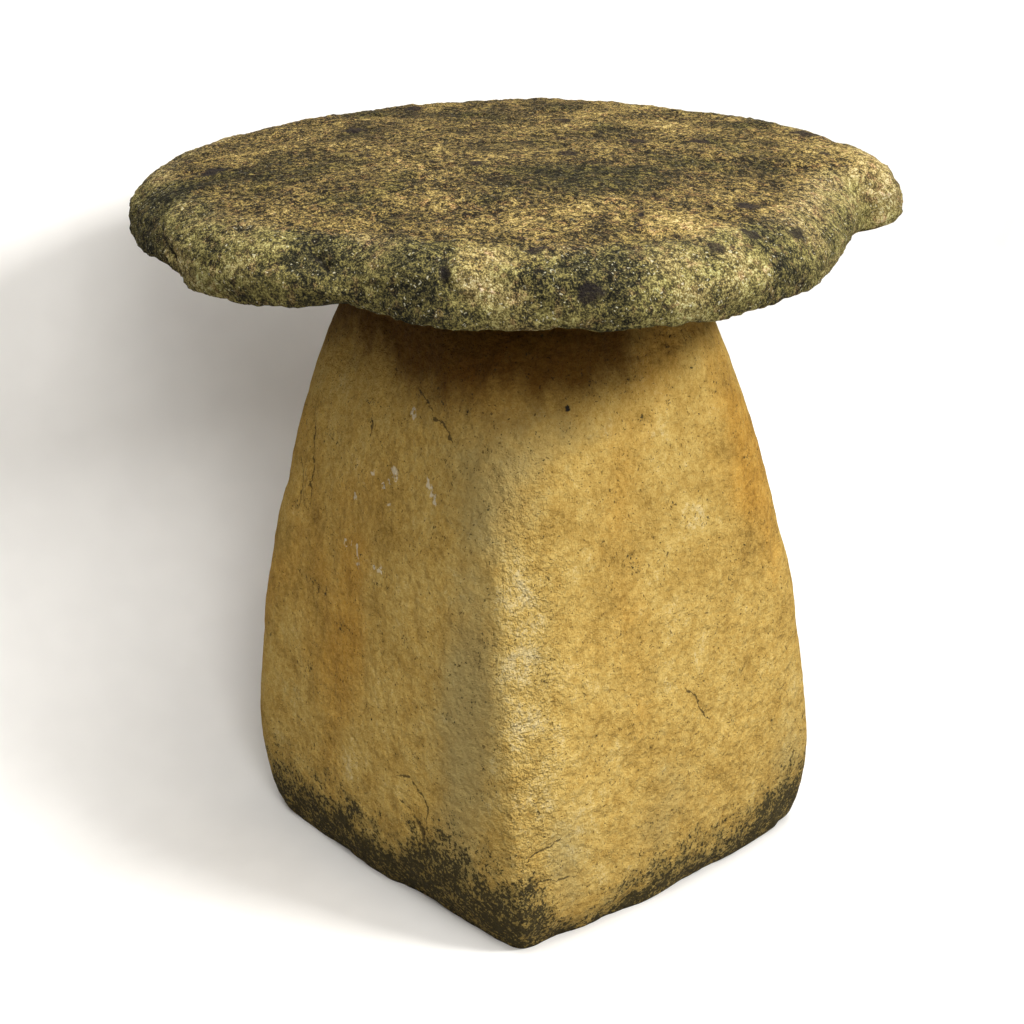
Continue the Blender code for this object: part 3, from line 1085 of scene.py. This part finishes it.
def make_line_group():
    """A thin ragged line from a stored field (across, taper): Mask is 1 where the distance across, moved
    sideways by noise, is under Width times the root of the taper."""
    tree, given, put = group_tree(
        "ragged_line",
        (
            ("Place", "NodeSocketVector", None),
            ("Field", "NodeSocketVector", None),
            ("Width", "NodeSocketFloat", 0.0006),
            ("Wobble", "NodeSocketFloat", 0.003),
            ("Breaks", "NodeSocketFloat", 0.3),
        ),
        (("Mask", "NodeSocketFloat"),),
    )
    parts = add_node(tree, "ShaderNodeSeparateXYZ", {0: given["Field"]}).outputs
    sideways = maths(tree, "SUBTRACT", noise(tree, given["Place"], 75.0, 3.0, 0.65), 0.5)
    across = maths(tree, "MULTIPLY_ADD", sideways, given["Wobble"], parts["X"])
    distance = maths(tree, "ABSOLUTE", across)
    taper = maths(tree, "SQRT", maths(tree, "MAXIMUM", parts["Y"], 0.0))
    width = scaled(tree, given["Width"], taper)
    uneven = ramp(tree, noise(tree, given["Place"], 260.0, 0.0), 0.30, 0.70, 0.4, 1.5)
    thick = scaled(tree, width, uneven)
    share = maths(tree, "DIVIDE", distance, maths(tree, "MAXIMUM", thick, 0.00001))
    inside = ramp(tree, share, 0.6, 1.4, 1.0, 0.0)
    gap_start = maths(tree, "SUBTRACT", given["Breaks"], 0.05)
    gap_end = total(tree, given["Breaks"], 0.05)
    whole = ramp(tree, noise(tree, given["Place"], 230.0, 1.0), gap_start, gap_end)
    tree.links.new(scaled(tree, inside, whole), put["Mask"])
    return tree


def new_material(name):
    """A material with a Principled BSDF; returns it with its tree, shader and Object coordinates."""
    material = bpy.data.materials.new(name)
    material.use_nodes = True
    tree = material.node_tree
    shader = tree.nodes["Principled BSDF"]
    place = tree.nodes.new("ShaderNodeTexCoord").outputs["Object"]
    return material, tree, shader, place


# Materials ------------------------------------------------------------------------------------

# Colours from the darkest grain to the palest, each with its place on a level from 0 to 1.
GOLDEN_LEVELS = (
    (0.00, (0.085, 0.046, 0.010, 1.0)),
    (0.28, (0.320, 0.190, 0.038, 1.0)),
    (0.50, (0.480, 0.302, 0.070, 1.0)),
    (0.74, (0.610, 0.420, 0.120, 1.0)),
    (1.00, (0.740, 0.590, 0.290, 1.0)),
)
LICHEN_LEVELS = (
    (0.00, (0.012, 0.010, 0.006, 1.0)),
    (0.22, (0.052, 0.041, 0.021, 1.0)),
    (0.45, (0.150, 0.108, 0.040, 1.0)),
    (0.66, (0.310, 0.228, 0.082, 1.0)),
    (0.86, (0.500, 0.395, 0.170, 1.0)),
    (1.00, (0.680, 0.590, 0.350, 1.0)),
)
RUST_TINT = (1.00, 0.86, 0.62, 1.0)
ALGAE = (0.310, 0.255, 0.110, 1.0)
GREEN_TINT = (0.86, 0.98, 0.84, 1.0)
PURPLE_TINT = (1.00, 0.82, 0.98, 1.0)
PIT = (0.080, 0.046, 0.010, 1.0)
# Colour multiplied in for the painted shade under the cap, in part a damp stain.
STAIN_AND_SHADE_TINT = (0.22, 0.15, 0.04, 1.0)
CRACK = (0.045, 0.031, 0.010, 1.0)
CRUST_BLACK = (0.020, 0.017, 0.007, 1.0)
CRUST_OLIVE = (0.130, 0.110, 0.036, 1.0)
SCRAPE = (0.800, 0.720, 0.540, 1.0)
LICHEN_BLACK = (0.012, 0.010, 0.007, 1.0)
LICHEN_PALE = (0.640, 0.590, 0.400, 1.0)
SPOT_PURPLE = (0.014, 0.010, 0.010, 1.0)
WARM_TINT = (1.00, 0.95, 0.76, 1.0)


def finish_stone(tree, shader, colour, speckle, roughness, relief):
    """Feeds the shader a colour, a roughness that goes from its first to its second value as the speckle
    goes from 0 to 1, and a relief in metres as a bump."""
    tree.links.new(colour, shader.inputs["Base Color"])
    tree.links.new(ramp(tree, speckle, 0.0, 1.0, *roughness), shader.inputs["Roughness"])
    bumped = add_node(tree, "ShaderNodeBump", {"Height": relief, "Strength": 1.0, "Distance": 1.0})
    tree.links.new(bumped.outputs["Normal"], shader.inputs["Normal"])


def golden_stone(groups):
    """Golden limestone. A level from fine and coarse grain, drifts and stored masks picks a colour
    between dark and pale grains, with a painted highlight on the front arris's crest; rust and a
    grey-green veil tint it; painted shade, in part a damp stain, darkens the head under the cap; pits,
    scrapes, cracks, holes and the dark growth along the foot, with a painted shadow line at the ground,
    lie over it."""
    material, tree, shader, place = new_material("golden_stone_looks")
    upright = add_node(tree, "ShaderNodeMapping", {"Vector": place, "Scale": (1.0, 1.0, 0.5)}).outputs[0]
    grain = use_group(tree, groups["grain"], Place=place, Scale=850.0, Coarse=0.6)
    fleck_density = ramp(tree, noise(tree, place, 28.0, 1.0), 0.40, 0.62, 0.18, 0.60)
    pits = use_group(tree, groups["pits"], Place=place, Scale=390.0, Density=fleck_density, Size=0.30)
    large_pits = use_group(tree, groups["pits"], Place=place, Scale=170.0, Density=0.045, Size=0.13)
    cracks = use_group(
        tree,
        groups["line"],
        Place=place,
        Field=attribute(tree, "crack", "Vector"),
        Width=0.0008,
        Wobble=0.012,
    )
    scrapes = use_group(
        tree,
        groups["line"],
        Place=place,
        Field=attribute(tree, "scrape", "Vector"),
        Width=0.0024,
        Wobble=0.006,
        Breaks=0.50,
    )
    mottle = swing(tree, noise(tree, place, 38.0, 3.0, 0.64), 0.80)
    fine = swing(tree, noise(tree, upright, 190.0, 3.0, 0.66), 0.42)
    speckle = swing(tree, grain["Speckle"], 0.24)

    level = total(tree, 0.56, speckle, fine, mottle)
    # Pale worn stone, and a painted highlight along the front arris's crest.
    level = total(tree, level, scaled(tree, attribute(tree, "pale"), 0.28))
    level = total(tree, level, scaled(tree, attribute(tree, "rust"), -0.10))
    colour = levels(tree, level, GOLDEN_LEVELS)
    rust = ramp(tree, total(tree, attribute(tree, "rust"), mottle), 0.10, 0.80)
    colour = blend(tree, rust, colour, RUST_TINT, "MULTIPLY")
    veil = ramp(tree, total(tree, attribute(tree, "veil"), mottle), 0.10, 0.95)
    colour = lay_over(
        tree,
        colour,
        (veil, 0.60, ALGAE),
        (pits["Mask"], 0.76, PIT),
        (large_pits["Mask"], 0.74, PIT),
        (scrapes["Mask"], 0.66, SCRAPE),
    )
    # Painted shade under the cap, in part a damp stain, darkening the head where the cap's shadow falls.
    stain_and_painted_shade = ramp(tree, total(tree, attribute(tree, "stain_and_painted_shade"), mottle), 0.05, 0.95)
    colour = blend(tree, stain_and_painted_shade, colour, STAIN_AND_SHADE_TINT, "MULTIPLY")

    ragged = swing(tree, noise(tree, place, 62.0, 3.0, 0.74), 2.1)
    growth = total(tree, attribute(tree, "crust_and_foot_shadow"), ragged)
    peppered = total(tree, growth, swing(tree, noise(tree, place, 360.0, 2.0, 0.75), 3.6))
    olive = ramp(tree, growth, 0.15, 0.95)
    black = ramp(tree, peppered, 0.55, 0.95)
    colour = lay_over(
        tree,
        colour,
        (olive, 0.60, CRUST_OLIVE),
        (black, 0.86, CRUST_BLACK),
        (cracks["Mask"], 0.80, CRACK),
    )
    hole = ramp(tree, total(tree, attribute(tree, "hole"), speckle), 0.05, 0.35)
    colour = blend(tree, hole, colour, LICHEN_BLACK)

    grit = swing(tree, noise(tree, place, 290.0, 2.0, 0.75), 1.0)
    lump = swing(tree, noise(tree, place, 110.0, 1.0, 0.60), 1.0)
    grit_height = ramp(tree, attribute(tree, "ridge"), 0.0, 1.0, 0.0024, 0.0070)
    relief = total(tree, scaled(tree, grain["Height"], 0.00030), scaled(tree, grit, grit_height))
    relief = total(tree, relief, scaled(tree, lump, 0.0040))
    finish_stone(tree, shader, colour, grain["Speckle"], (0.96, 0.84), relief)
    shader.inputs["Specular IOR Level"].default_value = 0.20
    return material


def lichened_stone(groups):
    """Rough stone under lichen. A level from strong grain, drifts and stored masks picks a colour from
    black through olive and tan to cream, darker in the hollows as painted shade; the rim is greener and
    set with pale grains; dark growths, pits and open joints lie over it."""
    material, tree, shader, place = new_material("lichened_stone_looks")
    grain = use_group(tree, groups["grain"], Place=place, Scale=850.0, Coarse=0.6)
    pits = use_group(tree, groups["pits"], Place=place, Scale=330.0, Density=0.34, Size=0.40)
    grains = use_group(tree, groups["pits"], Place=place, Scale=450.0, Density=0.30, Size=0.34)
    cracks = use_group(
        tree,
        groups["line"],
        Place=place,
        Field=attribute(tree, "crack", "Vector"),
        Width=0.0018,
        Wobble=0.006,
    )
    mottle = swing(tree, noise(tree, place, 55.0, 3.0, 0.68), 0.72)
    fine = swing(tree, noise(tree, place, 300.0, 3.0, 0.80), 0.72)
    speckle = swing(tree, grain["Speckle"], 0.92)
    hue = noise(tree, place, 120.0, 2.0, 0.7)
    rim = attribute(tree, "rim")
    olive = attribute(tree, "olive")
    gold = attribute(tree, "gold")

    calm = total(tree, ramp(tree, rim, 0.0, 1.0, 1.0, 0.76), ramp(tree, gold, 0.0, 1.0, 0.0, -0.18))
    swings = scaled(tree, total(tree, speckle, fine, mottle), calm)
    level = total(tree, ramp(tree, rim, 0.0, 1.0, 0.330, 0.56), swings)
    level = total(tree, level, scaled(tree, gold, 0.30), scaled(tree, olive, -0.34))
    # Painted shade: darker where the surface is sunk into hollows, pits and grooves.
    level = total(tree, level, scaled(tree, attribute(tree, "hollow"), -0.10))
    colour = levels(tree, level, LICHEN_LEVELS)
    green = ramp(tree, total(tree, scaled(tree, rim, 0.6), olive, mottle), 0.30, 1.10)
    colour = blend(tree, green, colour, GREEN_TINT, "MULTIPLY")
    colour = blend(tree, ramp(tree, rim, 0.0, 0.6, 1.0, 0.0), colour, WARM_TINT, "MULTIPLY")
    colour = blend(tree, ramp(tree, hue, 0.54, 0.66, 0.0, 0.8), colour, PURPLE_TINT, "MULTIPLY")
    colour = blend(tree, scaled(tree, pits["Mask"], 0.54), colour, LICHEN_BLACK)
    pale = scaled(tree, grains["Mask"], ramp(tree, rim, 0.0, 1.0, 0.20, 0.72))
    colour = blend(tree, pale, colour, LICHEN_PALE)
    spot = ramp(tree, total(tree, attribute(tree, "spot"), scaled(tree, fine, 0.5)), 0.10, 0.55)
    colour = lay_over(
        tree, colour, (spot, 0.85, SPOT_PURPLE), (cracks["Mask"], 0.85, LICHEN_BLACK)
    )

    relief = total(tree, scaled(tree, grain["Height"], 0.00070), scaled(tree, fine, 0.0022))
    finish_stone(tree, shader, colour, grain["Speckle"], (0.98, 0.86), relief)
    shader.inputs["Specular IOR Level"].default_value = 0.15
    return material


# Stage ----------------------------------------------------------------------------------------

VIEW_TURN = 48.0              # the camera's heading, counted from +Y towards -X
VIEW_PITCH = 21.64            # how far the camera looks down
CAMERA_BACK = 1.3846          # level distance from the foot's centre
CAMERA_ASIDE = -0.0181
CAMERA_UP = 0.8017
LENS = 70.3
BACKDROP_TURN = 35.0          # how far the backdrop is turned to stand nearer on the left
BACKDROP_AWAY = 0.36
BACKDROP_ROUND = 0.25
BACKDROP_SIDE = 6.0
BACKDROP_FRONT = 4.0
BACKDROP_HEIGHT = 3.0
BACKDROP_SENDS = 0.35         # share of light it sends back to the stone
BACKDROP_SHOWS = 0.95         # share of light it shows
LIGHT_DISTANCE = 2.2
LIGHT_AIM = 0.3
SURROUND = 0.05
SURROUND_WARM = (1.0, 0.88, 0.70, 1.0)
SURROUND_SEEN = (0.90, 0.90, 0.90, 1.0)
BACKDROP_WARM = (1.0, 0.975, 0.93)
SOFTBOXES = (                 # name, heading, elevation, side, power
    ("key", 64.0, 37.5, 0.4, 37.0),
    ("front", 10.0, 30.0, 0.8, 19.0),
    ("soft_front", -20.0, 60.0, 1.4, 6.0),
    ("back", 150.0, 60.0, 1.4, 20.0),
    ("overhead", 0.0, 89.0, 2.4, 78.0),
)


def from_view(right, away, up):
    """A place given to the right of, away from and above the foot's centre, as the camera looks."""
    turn = math.radians(VIEW_TURN)
    x = right * math.cos(turn) - away * math.sin(turn)
    y = right * math.sin(turn) + away * math.cos(turn)
    return (x, y, up)


def add_camera():
    """The camera, level from side to side and looking down on the stone."""
    data = bpy.data.cameras.new("camera")
    data.lens = LENS
    data.sensor_width = 36.0
    camera = bpy.data.objects.new("camera", data)
    camera.location = from_view(CAMERA_ASIDE, -CAMERA_BACK, CAMERA_UP)
    camera.rotation_euler = (math.radians(90.0 - VIEW_PITCH), 0.0, math.radians(VIEW_TURN))
    bpy.context.scene.collection.objects.link(camera)
    bpy.context.scene.camera = camera


def add_softbox(name, heading, elevation, size, power):
    """A square area light on a sphere round the stone, facing its middle. The heading is counted from
    the camera's side towards its right, and the elevation from the level."""
    data = bpy.data.lights.new(name, "AREA")
    data.size = size
    data.energy = power
    across = LIGHT_DISTANCE * math.cos(math.radians(elevation))
    right = across * math.sin(math.radians(heading))
    away = -across * math.cos(math.radians(heading))
    up = LIGHT_AIM + LIGHT_DISTANCE * math.sin(math.radians(elevation))
    light = bpy.data.objects.new(name, data)
    light.location = from_view(right, away, up)
    x, y, _ = light.location
    light.rotation_euler = (
        math.radians(90.0 - elevation), 0.0, math.atan2(-y, -x) - math.pi / 2.0
    )
    bpy.context.scene.collection.objects.link(light)


def add_backdrop():
    """A pale paper sweep: level under the stone, curving up behind it. It sends back less light than it
    shows, so that the stone's shaded sides stay deep, and its back is clear, so that the stone can be
    seen from behind."""
    turn = math.radians(BACKDROP_TURN)
    roll = np.linspace(0.0, math.pi / 2.0, 25)
    away = BACKDROP_AWAY - BACKDROP_ROUND * (1.0 - np.sin(roll))
    up = BACKDROP_ROUND * (1.0 - np.cos(roll))
    away = np.concatenate(([-BACKDROP_FRONT], away, [BACKDROP_AWAY]))
    up = BASE_LOW[2] + np.concatenate(([0.0], up, [BACKDROP_HEIGHT]))
    points = []
    for side in (-BACKDROP_SIDE, BACKDROP_SIDE):
        for far, high in zip(away, up):
            right = side * math.cos(turn) - far * math.sin(turn)
            further = side * math.sin(turn) + far * math.cos(turn)
            points.append(from_view(right, further, high))
    count = len(away)
    faces = [[i, count + i, count + i + 1, i + 1] for i in range(count - 1)]
    backdrop = mesh_piece("backdrop", np.array(points), faces, {})
    material, tree, shader, place = new_material("backdrop_paper")
    seen = tree.nodes.new("ShaderNodeLightPath").outputs["Is Camera Ray"]
    fibres = ramp(tree, noise(tree, place, 30.0, 1.0), 0.3, 0.7, 0.98, 1.0)
    shade = scaled(tree, fibres, ramp(tree, seen, 0.0, 1.0, BACKDROP_SENDS, BACKDROP_SHOWS))
    channels = {index: scaled(tree, shade, share) for index, share in enumerate(BACKDROP_WARM)}
    paper = add_node(tree, "ShaderNodeCombineColor", channels).outputs[0]
    tree.links.new(paper, shader.inputs["Base Color"])
    shader.inputs["Roughness"].default_value = 0.9
    behind = tree.nodes.new("ShaderNodeNewGeometry").outputs["Backfacing"]
    clear = tree.nodes.new("ShaderNodeBsdfTransparent").outputs["BSDF"]
    mixed = add_node(tree, "ShaderNodeMixShader", {0: behind, 1: shader.outputs["BSDF"], 2: clear})
    tree.links.new(mixed.outputs["Shader"], tree.nodes["Material Output"].inputs["Surface"])
    backdrop.data.materials.append(material)


def add_world():
    """A dim, warm, even surround, which is pale where the camera sees it past the backdrop."""
    world = bpy.data.worlds.new("surround")
    world.use_nodes = True
    tree = world.node_tree
    seen = tree.nodes.new("ShaderNodeLightPath").outputs["Is Camera Ray"]
    surround = tree.nodes["Background"]
    tree.links.new(blend(tree, seen, SURROUND_WARM, SURROUND_SEEN), surround.inputs["Color"])
    tree.links.new(ramp(tree, seen, 0.0, 1.0, SURROUND, 1.0), surround.inputs["Strength"])
    bpy.context.scene.world = world


def light_stage():
    """Softboxes all round the stone, and plain colours."""
    for softbox in SOFTBOXES:
        add_softbox(*softbox)
    bpy.context.scene.view_settings.view_transform = "Standard"


def main():
    """Builds both stones and the stage; each stone is attached to the root body, and the CAD part it
    replaces is hidden.
    """
    groups = {"pits": make_pits_group(), "grain": make_grain_group(), "line": make_line_group()}
    base = base_stone()
    base.data.materials.append(golden_stone(groups))
    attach(base, "root")
    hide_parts("base_stone")
    cap = cap_stone()
    cap.data.materials.append(lichened_stone(groups))
    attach(cap, "root")
    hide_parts("cap_stone")
    add_camera()
    add_backdrop()
    add_world()
    light_stage()


main()
